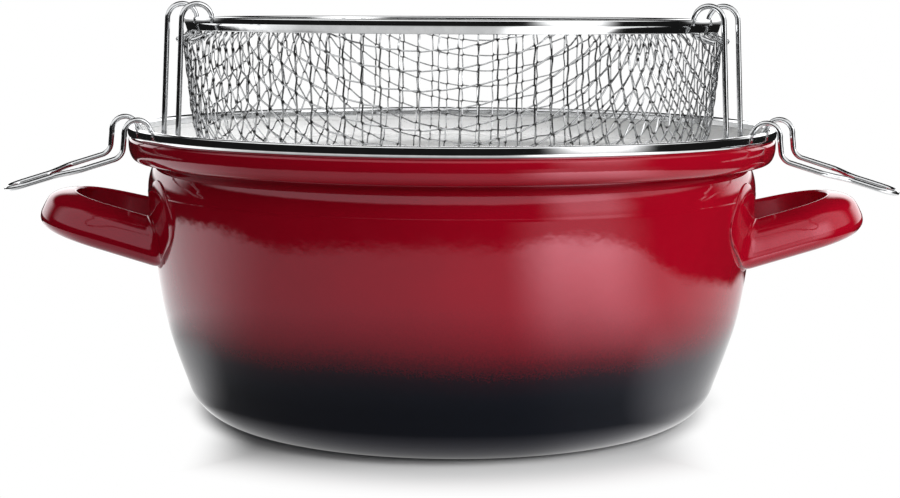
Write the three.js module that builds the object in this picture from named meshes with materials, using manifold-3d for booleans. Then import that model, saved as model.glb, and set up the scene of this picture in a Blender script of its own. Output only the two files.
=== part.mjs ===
// Deep fry pot with a wire basket, in its raised draining position.
// Millimetres, +Z up, origin at the centre of the base on the surface it stands on.
// +X points to the right handle, and the wire handles of the basket lean towards -Y.

import * as THREE from 'three';
import * as BufferGeometryUtils from 'three/addons/utils/BufferGeometryUtils.js';
import Module from 'manifold-3d';

const wasm = await Module();
wasm.setup();

// Pot: driving dimensions
const potHeight = 117.7;
const potRimRadius = 130;
const potWall = 1.2;
const baseCorner = 20;
const baseCornerTurn = 75;
const collarCorner = 3.2;
const collarStep = 0.5;
// How far the wall stands inside the rim at its shoulder and neck, and the base inside the shoulder
const shoulderInset = 7.7;
const neckInset = 9.3;
const baseInset = 34.3;
// How far shoulder, neck and the collar's underside lie below the pot's top
const shoulderDrop = 28.7;
const neckDrop = 19.1;
const collarUnderDrop = 15.1;
// Bowl wall between the foot corner and the shoulder, as shares of the shoulder's radius and height
const bowlShares = [[0.916, 0.315], [0.9485, 0.46], [0.9706, 0.63], [0.9861, 0.8]];

// Rim band folded over the pot's edge
const rimBandHeight = 4;
const rimBandSheet = 0.45;

// Clearance between pieces that touch on the real object
const seatGap = 0.3;

// Side handles: pressed loops that leave the pot's wall at a tilt
const handleRootInset = 1.3;
const handleRootDrop = 6.1;
const handleTilt = 14;
const handleRootHalfSpan = 28.6;
const handleNarrowing = 3.9;
const handleShoulderReach = 14;
const handleOpening = 32;
const handleWidth = 12.3;
const handleDepth = 17.3;
const handleSheet = 1.6;
// Feet: how far they spread from the loop's root
const footSheet = 1.2;
const footRise = 10.1;
const footDrop = 19.4;
const footInnerSpread = 4.6;
const footMiddleSpread = 15.4;
const footOuterSpread = 37.4;
// Section of the pressed arm from its inner crease, out, down and back, as shares of width and depth
const armShares = [
  [0, 0], [0.3, -0.04], [0.6, -0.1], [0.85, -0.25], [0.98, -0.45],
  [0.97, -0.7], [0.8, -0.92], [0.5, -1], [0.2, -0.93], [0.03, -0.5],
];
// How far the controls of the loop's corner stand from its ends, as shares of its reach and half span
const cornerShares = [0.56, 0.59];

// Length by which a cutting body runs past what it cuts
const overrun = 16;

// Basket: rim band, core wire and net
const basketLift = 42.7;
const basketInset = 22.8;
const basketRimWidth = 3;
const basketRimHeight = 5.2;
const basketRimSheet = 0.4;
const netBulge = 0.2;
const netBulgeDrop = 5;
const netTaper = 3.2;
const netDepth = 61.2;
const netCorner = 30;
const netPitch = 18.6;
const netStrandWidth = 1.4;
const netStrandDepth = 1.1;
const netHemHeight = 2.2;
const netTurn = -6.3;

// Basket handles: one bent wire each
const wireDiameter = 2.1;
const gripTurn = 20;
const wireSpacing = 26;
const eyeRadius = 5.9;
const eyeRise = 5;
const eyeBend = 1.5;
const stubDrop = 2.4;
const stubEndGap = 1.6;
const stubTurn = 102;
const legFootDrop = 1.7;
const legLean = 1.9;
const hookBend = 2.5;
const hookLean = 31;
const humpRadius = 5.1;
const humpRise = 4.1;
const humpOverhang = 0.8;
const outerLegDrop = 8.2;
const outerLegLean = 6;
const gripBend = 5;
const gripSlope = 16;
const gripReach = 47.2;
const gripLoopLength = 26.6;
const gripNeckLength = 11;
const gripTipHalfWidth = 6.2;

// Facets
const turnFacets = 48;
const wireSides = 8;

// Angles of a square corner, in degrees
const quarterTurn = 90;

// Materials
const redEnamel = new THREE.MeshStandardMaterial({ color: 0x8e0a1c, roughness: 0.12, metalness: 0 });
const brightSteel = new THREE.MeshStandardMaterial({ color: 0xd4d6d8, roughness: 0.12, metalness: 1 });
const wireSteel = new THREE.MeshStandardMaterial({ color: 0xc6c8ca, roughness: 0.22, metalness: 1 });

const radians = THREE.MathUtils.degToRad;
const flat = (x, y) => new THREE.Vector2(x, y);
const space = (x, y, z) => new THREE.Vector3(x, y, z);

// Points of an arc, both ends included
function arcPoints(centreX, centreY, radius, fromDegrees, toDegrees, steps) {
  const points = [];
  for (let i = 0; i <= steps; i += 1) {
    const angle = radians(fromDegrees + (toDegrees - fromDegrees) * i / steps);
    points.push(flat(centreX + radius * Math.cos(angle), centreY + radius * Math.sin(angle)));
  }
  return points;
}

// The same outline moved along its left-hand normals
function offsetOutline(points, distance) {
  return points.map((point, i) => {
    const before = points[Math.max(i - 1, 0)];
    const after = points[Math.min(i + 1, points.length - 1)];
    const along = after.clone().sub(before).normalize();
    return flat(point.x - along.y * distance, point.y + along.x * distance);
  });
}

// A profile of radius and height turned about Z
function revolve(profile) {
  const geometry = new THREE.LatheGeometry(profile, turnFacets);
  geometry.rotateX(Math.PI / 2);
  return geometry;
}

// Bare positions with shared corners merged
function weld(geometry) {
  const bare = geometry.clone();
  for (const name of Object.keys(bare.attributes)) {
    if (name !== 'position') bare.deleteAttribute(name);
  }
  return BufferGeometryUtils.mergeVertices(bare);
}

function toSolid(geometry) {
  const bare = weld(geometry);
  const mesh = new wasm.Mesh({
    numProp: 3,
    vertProperties: new Float32Array(bare.attributes.position.array),
    triVerts: new Uint32Array(bare.index.array),
  });
  mesh.merge();
  return new wasm.Manifold(mesh);
}

function toGeometry(solid) {
  const mesh = solid.getMesh();
  const geometry = new THREE.BufferGeometry();
  const corners = new Float32Array(mesh.numVert * 3);
  for (let i = 0; i < mesh.numVert; i += 1) {
    for (let k = 0; k < 3; k += 1) corners[i * 3 + k] = mesh.vertProperties[i * mesh.numProp + k];
  }
  geometry.setAttribute('position', new THREE.BufferAttribute(corners, 3));
  geometry.setIndex(new THREE.BufferAttribute(new Uint32Array(mesh.triVerts), 1));
  return geometry;
}

function piece(name, geometry, material) {
  geometry.computeVertexNormals();
  const mesh = new THREE.Mesh(geometry, material);
  mesh.name = name;
  return mesh;
}

// Pot body
const shoulderRadius = potRimRadius - shoulderInset;
const shoulderHeight = potHeight - shoulderDrop;
const neckRadius = potRimRadius - neckInset;
const neckHeight = potHeight - neckDrop;
const collarUnderHeight = potHeight - collarUnderDrop;
const baseRadius = shoulderRadius - baseInset;
const edgeOuter = potRimRadius - rimBandSheet - seatGap;
const edgeInner = edgeOuter - potWall;
const rimBandInner = edgeInner - seatGap - rimBandSheet;
const rimBandHalf = (potRimRadius - rimBandInner) / 2;
const edgeTop = potHeight - rimBandHalf;
const rimBandBottom = potHeight - rimBandHeight;

// The pot's outside from the middle of its base to its upper edge
function potOutside() {
  const foot = arcPoints(baseRadius, baseCorner, baseCorner, -quarterTurn, baseCornerTurn - quarterTurn, 5);
  const start = foot[foot.length - 1];
  const bowlPoints = bowlShares.map(([r, h]) => flat(r * shoulderRadius, h * shoulderHeight));
  const shoulder = flat(shoulderRadius, shoulderHeight);
  const bowl = new THREE.SplineCurve([start, ...bowlPoints, shoulder]).getPoints(7);
  const neck = flat(neckRadius, neckHeight);
  const collarOuter = edgeOuter + collarStep;
  const collarCentre = flat(collarOuter - collarCorner, collarUnderHeight + collarCorner);
  const drawIn = new THREE.CubicBezierCurve(
    shoulder,
    flat(shoulderRadius, (shoulderHeight + neckHeight) / 2),
    flat(neckRadius, (shoulderHeight + neckHeight) / 2),
    neck,
  ).getPoints(3);
  const flare = new THREE.QuadraticBezierCurve(
    neck,
    flat(neckRadius, collarUnderHeight),
    flat(collarCentre.x, collarUnderHeight),
  ).getPoints(2);
  const collar = arcPoints(collarCentre.x, collarCentre.y, collarCorner, -quarterTurn, 0, 3);
  const collarTop = rimBandBottom - seatGap - collarStep;
  return [
    flat(0, 0),
    ...foot,
    ...bowl.slice(1),
    ...drawIn.slice(1),
    ...flare.slice(1),
    ...collar.slice(1),
    flat(collarOuter, collarTop),
    flat(edgeOuter, rimBandBottom - seatGap),
    flat(edgeOuter, edgeTop),
  ];
}

const potOutline = potOutside();

function buildPotBody() {
  const inside = offsetOutline(potOutline, potWall);
  inside[0] = flat(0, potWall);
  inside[inside.length - 1] = flat(edgeInner, edgeTop);
  return revolve([...potOutline, ...inside.reverse()]);
}

// A folded band, open below, over a ring that is narrower than the band's inside
function foldedBand(outerRadius, halfWidth, sheet, top, bottom) {
  const centre = outerRadius - halfWidth;
  const crown = arcPoints(centre, top - halfWidth, halfWidth, 0, 180, 5);
  const hollow = arcPoints(centre, top - halfWidth, halfWidth - sheet, 180, 0, 3);
  const profile = [
    flat(outerRadius, bottom),
    ...crown,
    flat(centre - halfWidth, bottom),
    flat(centre - halfWidth + sheet, bottom),
    ...hollow,
    flat(outerRadius - sheet, bottom),
    flat(outerRadius, bottom),
  ];
  return revolve(profile);
}

// Everything the pot's wall fills, grown outwards by a distance
function potEnvelope(distance) {
  const grown = offsetOutline(potOutline.slice(1), -distance);
  const first = grown[0];
  const last = grown[grown.length - 1];
  return toSolid(revolve([flat(0, first.y), ...grown, flat(0, last.y)]));
}

// Side handles
const handleRootRadius = shoulderRadius - handleRootInset;
const handleRootHeight = shoulderHeight - handleRootDrop;
const handleShoulderHalfSpan = handleRootHalfSpan - handleNarrowing;
const footTop = handleRootHeight + footRise;
const footBottom = handleRootHeight - footDrop;
const footInnerSpan = handleRootHalfSpan - footInnerSpread;
const footMiddleSpan = handleRootHalfSpan + footMiddleSpread;
const footOuterSpan = handleRootHalfSpan + footOuterSpread;

// Inner crease of the loop in its own plane, from one root round to the other
function loopStations(extra) {
  const lean = (handleRootHalfSpan - handleShoulderHalfSpan) / handleShoulderReach;
  const along = (x) => flat(x, -handleRootHalfSpan + lean * x);
  const shoulder = along(handleShoulderReach);
  const cornerReach = (handleOpening - handleShoulderReach) * cornerShares[0];
  const corner = new THREE.CubicBezierCurve(
    shoulder,
    along(handleShoulderReach + cornerReach),
    flat(handleOpening, shoulder.y * cornerShares[1]),
    flat(handleOpening, 0),
  ).getPoints(8);
  const half = [along(-extra), along(0), along(handleShoulderReach / 2), ...corner];
  const other = half.slice(0, -1).reverse().map((p) => flat(p.x, -p.y));
  return [...half, ...other];
}

// Side handle: a closed loft of one section round the loop, drawn in by a distance all round
function armLoft(inset, extra) {
  const stations = loopStations(extra);
  const centre = flat(handleWidth / 2, -handleDepth / 2);
  const across = (handleWidth / 2 - inset) / (handleWidth / 2);
  const down = (handleDepth / 2 - inset) / (handleDepth / 2);
  const rings = stations.map((here, i) => {
    const before = stations[Math.max(i - 1, 0)];
    const after = stations[Math.min(i + 1, stations.length - 1)];
    const along = after.clone().sub(before).normalize();
    return armShares.map(([w, d]) => {
      const out = centre.x + (w * handleWidth - centre.x) * across;
      const up = centre.y + (d * handleDepth - centre.y) * down;
      return space(here.x + along.y * out, here.y - along.x * out, up);
    });
  });
  const arm = loft(rings);
  arm.rotateY(-radians(handleTilt));
  arm.translate(handleRootRadius, 0, handleRootHeight);
  return arm;
}

// A closed body through equal rings of points, with flat ends
function loft(rings) {
  const sides = rings[0].length;
  const corners = rings.flat();
  const faces = [];
  for (let i = 0; i < rings.length - 1; i += 1) {
    for (let k = 0; k < sides; k += 1) {
      const a = i * sides + k;
      const b = i * sides + (k + 1) % sides;
      faces.push(a, b, a + sides, b, b + sides, a + sides);
    }
  }
  const last = (rings.length - 1) * sides;
  for (let k = 1; k < sides - 1; k += 1) {
    faces.push(0, k + 1, k);
    faces.push(last, last + k, last + k + 1);
  }
  const geometry = new THREE.BufferGeometry().setFromPoints(corners);
  geometry.setIndex(faces);
  return geometry;
}

// Leaf-shaped foot pressed against the wall
function footLeaf(side) {
  const middleHeight = (footTop + footBottom) / 2;
  const lowHeight = (middleHeight + footBottom) / 2;
  const highHeight = (middleHeight + footTop) / 2;
  const bulge = (footOuterSpan - footMiddleSpan) * 4 / 3;
  const outer = footMiddleSpan + bulge;
  const outline = new THREE.Shape();
  outline.moveTo(side * footMiddleSpan, footBottom);
  outline.bezierCurveTo(side * outer, lowHeight, side * outer, highHeight, side * footMiddleSpan, footTop);
  outline.bezierCurveTo(
    side * footInnerSpan, footTop, side * footInnerSpan, middleHeight, side * footInnerSpan, lowHeight,
  );
  outline.lineTo(side * footMiddleSpan, footBottom);
  const leaf = new THREE.ExtrudeGeometry(outline, {
    depth: shoulderRadius + overrun, bevelEnabled: false, curveSegments: 7,
  });
  leaf.rotateX(Math.PI / 2);
  leaf.rotateZ(Math.PI / 2);
  return toSolid(leaf);
}

function buildSideHandle() {
  const clear = potEnvelope(seatGap);
  const skin = potEnvelope(seatGap + footSheet);
  const feet = footLeaf(-1).add(footLeaf(1)).intersect(skin);
  const arms = toSolid(armLoft(0, overrun));
  const hollow = toSolid(armLoft(handleSheet, overrun + overrun));
  return toGeometry(arms.add(feet).subtract(hollow).subtract(clear));
}

// Basket
const basketRimTop = potHeight + basketLift;
const basketRimRadius = potRimRadius - basketInset;
const basketHalf = basketRimWidth / 2;
const basketRimCentre = basketRimRadius - basketHalf;
const basketCoreHeight = basketRimTop - basketHalf;
const basketRimBottom = basketRimTop - basketRimHeight;
const netBulgeRadius = basketRimRadius + netBulge;
const netFloorHeight = basketRimBottom - netDepth;
const coreRadius = basketHalf - basketRimSheet - seatGap;
const hemTop = basketCoreHeight - coreRadius - seatGap;
const hemBottom = hemTop - netHemHeight;

function buildCoreWire() {
  return revolve(arcPoints(basketRimCentre, basketCoreHeight, coreRadius, 0, 360, 6));
}

// Middle surface of the drawn net: radius and height from the centre of the floor out and up
function netOutline() {
  const bulgeHeight = basketRimBottom - netBulgeDrop;
  const throatHeight = basketRimBottom - netStrandDepth;
  const wallLength = bulgeHeight - netFloorHeight - netCorner;
  const lean = Math.atan2(netTaper, wallLength);
  const cornerRadius = netBulgeRadius - netTaper - netCorner * Math.cos(lean);
  const cornerTurn = THREE.MathUtils.radToDeg(lean);
  const corner = arcPoints(cornerRadius, netFloorHeight + netCorner, netCorner, -quarterTurn, -cornerTurn, 16);
  const above = hemTop + netPitch * 2;
  return [
    flat(0, netFloorHeight),
    ...corner,
    flat(netBulgeRadius, bulgeHeight),
    flat(basketRimCentre, throatHeight),
    flat(basketRimCentre, above),
  ];
}

const netLine = netOutline();
const netRun = [0];
for (let i = 1; i < netLine.length; i += 1) {
  netRun.push(netRun[i - 1] + netLine[i].distanceTo(netLine[i - 1]));
}

// A point of the net's surface at a run from the centre and an angle
function onNet(run, angle) {
  let i = 1;
  while (i < netRun.length - 1 && netRun[i] < run) i += 1;
  const t = (run - netRun[i - 1]) / (netRun[i] - netRun[i - 1]);
  const at = netLine[i - 1].clone().lerp(netLine[i], t);
  return space(at.x * Math.cos(angle), at.x * Math.sin(angle), at.y);
}

// The nearest point of the net's surface, with the surface's outward normal there
function pullToNet(point) {
  const radius = Math.hypot(point.x, point.y);
  const here = flat(radius, point.z);
  let best = null;
  for (let i = 1; i < netLine.length; i += 1) {
    const along = netLine[i].clone().sub(netLine[i - 1]);
    const reach = here.clone().sub(netLine[i - 1]).dot(along) / along.lengthSq();
    const foot = netLine[i - 1].clone().addScaledVector(along, THREE.MathUtils.clamp(reach, 0, 1));
    const distance = foot.distanceTo(here);
    if (best === null || distance < best.distance) best = { distance, foot, along };
  }
  const turn = Math.atan2(point.y, point.x);
  const along = best.along.normalize();
  return {
    at: space(best.foot.x * Math.cos(turn), best.foot.x * Math.sin(turn), best.foot.y),
    normal: space(along.y * Math.cos(turn), along.y * Math.sin(turn), -along.x),
  };
}

// One quarter of a square net laid over the surface, every mesh side one pitch long
function drapeQuarter() {
  const rows = Math.ceil(netRun[netRun.length - 1] / netPitch);
  const knots = new Map();
  const key = (i, j) => `${i},${j}`;
  for (let i = 0; i < rows; i += 1) {
    knots.set(key(i, 0), onNet(i * netPitch, 0));
    knots.set(key(0, i), onNet(i * netPitch, Math.PI / 2));
  }
  for (let sum = 2; sum < rows * 2; sum += 1) {
    for (let i = 1; i < sum; i += 1) {
      const j = sum - i;
      const a = knots.get(key(i - 1, j));
      const b = knots.get(key(i, j - 1));
      const c = knots.get(key(i - 1, j - 1));
      if (!a || !b || !c || Math.min(a.z, b.z) > hemTop + netPitch) continue;
      let knot = a.clone().add(b).sub(c);
      for (let pass = 0; pass < 60; pass += 1) {
        knot = pullToNet(knot).at;
        for (const near of [a, b]) {
          const side = knot.clone().sub(near);
          const slack = side.length() - netPitch;
          knot.addScaledVector(side.normalize(), -slack / 2);
        }
      }
      knots.set(key(i, j), pullToNet(knot).at);
    }
  }
  return knots;
}

// Knots and strands of the whole net below the hem
function netGraph() {
  const quarter = drapeQuarter();
  const seatHeight = hemBottom + netStrandWidth / 2;
  const turn = radians(netTurn - quarterTurn);
  const place = (i, j) => {
    const knot = quarter.get(`${Math.abs(i)},${Math.abs(j)}`);
    if (!knot) return null;
    const mirrored = space(Math.sign(i) * knot.x, Math.sign(j) * knot.y, knot.z);
    if (i === 0) mirrored.x = 0;
    if (j === 0) mirrored.y = 0;
    return mirrored.applyAxisAngle(space(0, 0, 1), turn);
  };
  const vertices = [];
  const edges = [];
  const indexOf = new Map();
  const addVertex = (at) => {
    vertices.push({ at, spokes: [] });
    return vertices.length - 1;
  };
  const addEdge = (a, b) => {
    vertices[a].spokes.push({ to: b, edge: edges.length });
    vertices[b].spokes.push({ to: a, edge: edges.length });
    edges.push([a, b]);
  };
  const rows = Math.ceil(netRun[netRun.length - 1] / netPitch);
  for (let i = -rows; i <= rows; i += 1) {
    for (let j = -rows; j <= rows; j += 1) {
      const at = place(i, j);
      if (!at || at.z > hemTop + netStrandWidth) continue;
      if (at.z > hemBottom - netStrandWidth) at.z = seatHeight;
      indexOf.set(`${i},${j}`, addVertex(at));
    }
  }
  for (let i = -rows; i <= rows; i += 1) {
    for (let j = -rows; j <= rows; j += 1) {
      for (const [di, dj] of [[1, 0], [0, 1]]) {
        const from = place(i, j);
        const to = place(i + di, j + dj);
        if (!from || !to) continue;
        const a = indexOf.get(`${i},${j}`);
        const b = indexOf.get(`${i + di},${j + dj}`);
        if (a !== undefined && b !== undefined) {
          const level = vertices[a].at.z === seatHeight && vertices[b].at.z === seatHeight;
          if (!level) addEdge(a, b);
        } else if (a !== undefined || b !== undefined) {
          const low = a !== undefined ? a : b;
          if (vertices[low].at.z === seatHeight) continue;
          const high = a !== undefined ? to : from;
          const share = (seatHeight - vertices[low].at.z) / (high.z - vertices[low].at.z);
          const end = pullToNet(vertices[low].at.clone().lerp(high, share)).at;
          addEdge(low, addVertex(end));
        }
      }
    }
  }
  return { vertices, edges };
}

// Gives a graph on the net's surface flat strands of one width and depth, as one closed body
function thickenGraph({ vertices, edges }) {
  const half = netStrandWidth / 2;
  const points = [];
  const faces = [];
  const cornerPair = (at) => {
    const { at: seat, normal } = pullToNet(at);
    points.push(seat.clone().addScaledVector(normal, netStrandDepth / 2));
    points.push(seat.clone().addScaledVector(normal, -netStrandDepth / 2));
    return points.length - 2;
  };
  const quad = (a, b, c, d) => faces.push(a, b, c, a, c, d);
  const ends = edges.map(() => ({}));
  vertices.forEach((vertex, index) => {
    if (vertex.spokes.length === 0) return;
    const { normal } = pullToNet(vertex.at);
    const east = space(0, 0, 1).cross(normal);
    if (east.lengthSq() === 0) east.set(1, 0, 0);
    east.normalize();
    const north = normal.clone().cross(east);
    const spokes = vertex.spokes.map((spoke) => {
      const away = vertices[spoke.to].at.clone().sub(vertex.at);
      const x = away.dot(east);
      const y = away.dot(north);
      return { ...spoke, angle: Math.atan2(y, x) };
    }).sort((a, b) => a.angle - b.angle);
    const onPlane = (x, y) => cornerPair(vertex.at.clone().addScaledVector(east, x).addScaledVector(north, y));
    const count = spokes.length;
    if (count === 1) {
      const { angle, edge } = spokes[0];
      const left = onPlane(-Math.sin(angle) * half, Math.cos(angle) * half);
      const right = onPlane(Math.sin(angle) * half, -Math.cos(angle) * half);
      ends[edge][index] = { left, right };
      quad(left, left + 1, right + 1, right);
      return;
    }
    const corners = spokes.map((spoke, k) => {
      const next = spokes[(k + 1) % count];
      const gap = (next.angle - spoke.angle + Math.PI * 2) % (Math.PI * 2);
      const reach = half / Math.sin(gap / 2);
      const middle = spoke.angle + gap / 2;
      return onPlane(Math.cos(middle) * reach, Math.sin(middle) * reach);
    });
    spokes.forEach((spoke, k) => {
      ends[spoke.edge][index] = { left: corners[k], right: corners[(k + count - 1) % count] };
    });
    for (let k = 1; k < count - 1; k += 1) {
      faces.push(corners[0], corners[k], corners[k + 1]);
      faces.push(corners[0] + 1, corners[k + 1] + 1, corners[k] + 1);
    }
  });
  edges.forEach(([a, b], edge) => {
    const near = ends[edge][a];
    const far = ends[edge][b];
    quad(near.left, near.right, far.left, far.right);
    quad(near.left + 1, far.right + 1, far.left + 1, near.right + 1);
    quad(near.right, near.right + 1, far.left + 1, far.left);
    quad(far.right, far.right + 1, near.left + 1, near.left);
  });
  const geometry = new THREE.BufferGeometry().setFromPoints(points);
  geometry.setIndex(faces);
  return geometry;
}

function buildHem() {
  const hemHalf = basketHalf - basketRimSheet - seatGap;
  const inner = basketRimCentre - hemHalf;
  const outer = basketRimCentre + hemHalf;
  return toSolid(revolve([
    flat(inner, hemBottom), flat(outer, hemBottom), flat(outer, hemTop), flat(inner, hemTop), flat(inner, hemBottom),
  ]));
}

// Basket handle: the bent wire in its own plane, as distance from the basket's axis and height
const wireRadius = wireDiameter / 2;
const eyeAxis = Math.sqrt(basketRimCentre ** 2 - (wireSpacing / 2) ** 2);
const eyeTopHeight = basketRimTop + eyeRise;
const legFootHeight = potHeight - legFootDrop;
const humpTopHeight = potHeight + humpRise;
const humpCentreRadius = potRimRadius + humpOverhang;
const gripTipRadius = humpCentreRadius + gripReach;
const gripWaistRadius = gripTipRadius - gripLoopLength;

function wireOutline() {
  const eyeCentreHeight = eyeTopHeight - eyeRadius;
  const innerLeg = eyeAxis - basketHalf - seatGap - wireRadius - seatGap;
  const eyeCentre = innerLeg + eyeRadius;
  const legTop = eyeCentre + eyeRadius;
  const stubLevel = basketRimBottom - seatGap - wireRadius;
  const stubEnd = flat(legTop - wireDiameter - stubEndGap, stubLevel - stubDrop);
  const stubBend = arcPoints(innerLeg + eyeBend, stubLevel + eyeBend, eyeBend, stubTurn - 180, -180, 5);
  const eye = arcPoints(eyeCentre, eyeCentreHeight, eyeRadius, 180, 0, 9);
  const legFoot = flat(legTop + legLean, legFootHeight);
  const legWay = legFoot.clone().sub(flat(legTop, eyeCentreHeight)).normalize();
  const hump = flat(humpCentreRadius, humpTopHeight - humpRadius);
  const humpStart = arcPoints(hump.x, hump.y, humpRadius, 180 - hookLean, outerLegLean * -1, 9);
  const slantWay = flat(Math.sin(radians(hookLean)), Math.cos(radians(hookLean)));
  const bend = filletBetween(flat(legTop, eyeCentreHeight), legWay, humpStart[0], slantWay, hookBend, 5);
  const legOut = flat(Math.sin(radians(outerLegLean)), -Math.cos(radians(outerLegLean)));
  const humpEnd = humpStart[humpStart.length - 1];
  const corner = humpEnd.clone().addScaledVector(legOut, outerLegDrop);
  const gripWay = flat(Math.cos(radians(gripSlope)), -Math.sin(radians(gripSlope)));
  const turn = filletBetween(humpEnd, legOut, corner.clone().addScaledVector(gripWay, gripBend), gripWay, gripBend, 5);
  return { line: [stubEnd, ...stubBend, ...eye, ...bend, ...humpStart, ...turn], end: turn[turn.length - 1], gripWay };
}

// Arc that joins a line leaving one point to a line arriving at another
function filletBetween(from, leaving, to, arriving, radius, steps) {
  const across = leaving.x * arriving.y - leaving.y * arriving.x;
  const gap = to.clone().sub(from);
  const reach = (gap.x * arriving.y - gap.y * arriving.x) / across;
  const corner = from.clone().addScaledVector(leaving, reach);
  const turn = Math.acos(THREE.MathUtils.clamp(leaving.dot(arriving), -1, 1));
  const back = radius * Math.tan(turn / 2);
  const side = Math.sign(across);
  const start = corner.clone().addScaledVector(leaving, -back);
  const centre = flat(start.x - leaving.y * radius * side, start.y + leaving.x * radius * side);
  const first = Math.atan2(start.y - centre.y, start.x - centre.x);
  const points = [];
  for (let i = 0; i <= steps; i += 1) {
    const angle = first + side * turn * i / steps;
    points.push(flat(centre.x + radius * Math.cos(angle), centre.y + radius * Math.sin(angle)));
  }
  return points;
}

// A path whose stations are given, so that bends get more of them than straight runs
class StationPath extends THREE.Curve {
  constructor(stations) {
    super();
    this.stations = stations;
  }

  getPoint(t) {
    const last = this.stations.length - 1;
    const i = Math.min(Math.floor(t * last + Number.EPSILON * last), last - 1);
    return this.stations[i].clone().lerp(this.stations[i + 1], t * last - i);
  }

  getPointAt(t) {
    return this.getPoint(t);
  }

  getTangentAt(t) {
    const last = this.stations.length - 1;
    const i = Math.round(t * last);
    const here = this.stations[i];
    const back = this.stations[Math.max(i - 1, 0)];
    const ahead = this.stations[Math.min(i + 1, last)];
    const into = here.clone().sub(back).normalize();
    const out = ahead.clone().sub(here).normalize();
    return into.add(out).normalize();
  }
}

// Half of the handle's wire in space: out along the grip on one side, to the tip
function wireStations() {
  const { line, end, gripWay } = wireOutline();
  const half = wireSpacing / 2;
  const level = (x) => end.y + (x - end.x) * gripWay.y / gripWay.x;
  const near = line.map((p) => space(p.x, half, p.y));
  const waist = [];
  const steps = 5;
  for (let i = 0; i <= steps; i += 1) {
    const share = i / steps;
    const x = gripWaistRadius + gripNeckLength * share;
    const ease = THREE.MathUtils.smoothstep(share, 0, 1);
    waist.push(space(x, THREE.MathUtils.lerp(half, gripTipHalfWidth, ease), level(x)));
  }
  const tip = arcPoints(gripTipRadius - gripTipHalfWidth, 0, gripTipHalfWidth, quarterTurn, 0, 4);
  const round = tip.map((p) => space(p.x, p.y, level(p.x)));
  const side = [...near, ...waist, ...round];
  const other = side.slice(0, -1).reverse().map((p) => space(p.x, -p.y, p.z));
  return [...side, ...other];
}

function buildBasketHandle(degrees) {
  const stations = wireStations();
  const section = new THREE.Shape(arcPoints(0, 0, wireRadius, 0, 360 - 360 / wireSides, wireSides - 1));
  const geometry = new THREE.ExtrudeGeometry(section, {
    steps: stations.length - 1, bevelEnabled: false, extrudePath: new StationPath(stations),
  });
  geometry.rotateZ(radians(degrees));
  return geometry;
}

// Room kept free in the net where a handle's eyes pass through it
function eyeWindow(degrees, side) {
  const margin = wireRadius + seatGap;
  const low = basketRimBottom - seatGap * 2 - wireDiameter - stubDrop - margin;
  const window = new THREE.BoxGeometry(overrun, margin * 2, hemBottom - seatGap - low);
  window.translate(eyeAxis, side * wireSpacing / 2, (low + hemBottom - seatGap) / 2);
  window.rotateZ(radians(degrees));
  return toSolid(window);
}

const handleTurns = { left: 180 + gripTurn, right: -gripTurn };

function buildNet() {
  let net = toSolid(thickenGraph(netGraph()));
  for (const degrees of Object.values(handleTurns)) {
    net = net.subtract(eyeWindow(degrees, 1)).subtract(eyeWindow(degrees, -1));
  }
  return toGeometry(net.add(buildHem()));
}

// The object
const object = new THREE.Group();

const pot = new THREE.Group();
pot.add(piece('pot_body', buildPotBody(), redEnamel));
pot.add(piece('pot_rim_band', foldedBand(potRimRadius, rimBandHalf, rimBandSheet, potHeight, rimBandBottom), brightSteel));
const rightHandle = piece('side_handle_right', buildSideHandle(), redEnamel);
const leftHandle = piece('side_handle_left', buildSideHandle(), redEnamel);
leftHandle.rotation.z = Math.PI;
pot.add(rightHandle, leftHandle);
object.add(pot);

const basket = new THREE.Group();
basket.add(piece(
  'basket_rim_band',
  foldedBand(basketRimRadius, basketHalf, basketRimSheet, basketRimTop, basketRimBottom),
  brightSteel,
));
basket.add(piece('basket_rim_wire', buildCoreWire(), wireSteel));
basket.add(piece('basket_net', buildNet(), wireSteel));
basket.add(piece('basket_handle_left', buildBasketHandle(handleTurns.left), wireSteel));
basket.add(piece('basket_handle_right', buildBasketHandle(handleTurns.right), wireSteel));
object.add(basket);

export default object;
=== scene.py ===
# Looks of the deep fry pot with its wire basket, raised to drain.
# Lengths of the object are millimetres in the CAD frame; Blender gets metres.
# Materials, floor, light and camera are in metres.

import math

import bpy
import numpy as np
from mathutils import Matrix, Vector


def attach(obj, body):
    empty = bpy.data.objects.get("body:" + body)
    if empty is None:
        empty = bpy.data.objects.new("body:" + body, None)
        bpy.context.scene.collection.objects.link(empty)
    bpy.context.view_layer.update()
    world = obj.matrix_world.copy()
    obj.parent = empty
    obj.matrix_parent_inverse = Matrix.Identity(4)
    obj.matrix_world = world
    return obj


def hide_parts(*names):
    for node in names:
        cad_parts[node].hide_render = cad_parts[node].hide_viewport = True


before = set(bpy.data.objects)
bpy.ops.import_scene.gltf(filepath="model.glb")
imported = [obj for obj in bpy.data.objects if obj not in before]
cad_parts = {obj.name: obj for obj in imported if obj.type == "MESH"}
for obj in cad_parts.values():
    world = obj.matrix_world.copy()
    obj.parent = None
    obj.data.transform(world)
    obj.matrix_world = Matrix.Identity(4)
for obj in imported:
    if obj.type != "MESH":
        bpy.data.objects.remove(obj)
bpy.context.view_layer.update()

MM = 0.001
CLEARANCE = 0.3
ROUND_SEGMENTS = 288
SHARP_ANGLE = 50

# Pot sizes. Points are radius and height

POT_HEIGHT = 117.7
POT_RIM_RADIUS = 130.0
POT_WALL = 1.2
BASE_RADIUS = 88.0
BASE_RINGS = (0, 20, 45, 70, 84)
BASE_CORNER = 20.0
BASE_CORNER_TURN = 75.0
BOWL_TOP = 89.0
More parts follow.
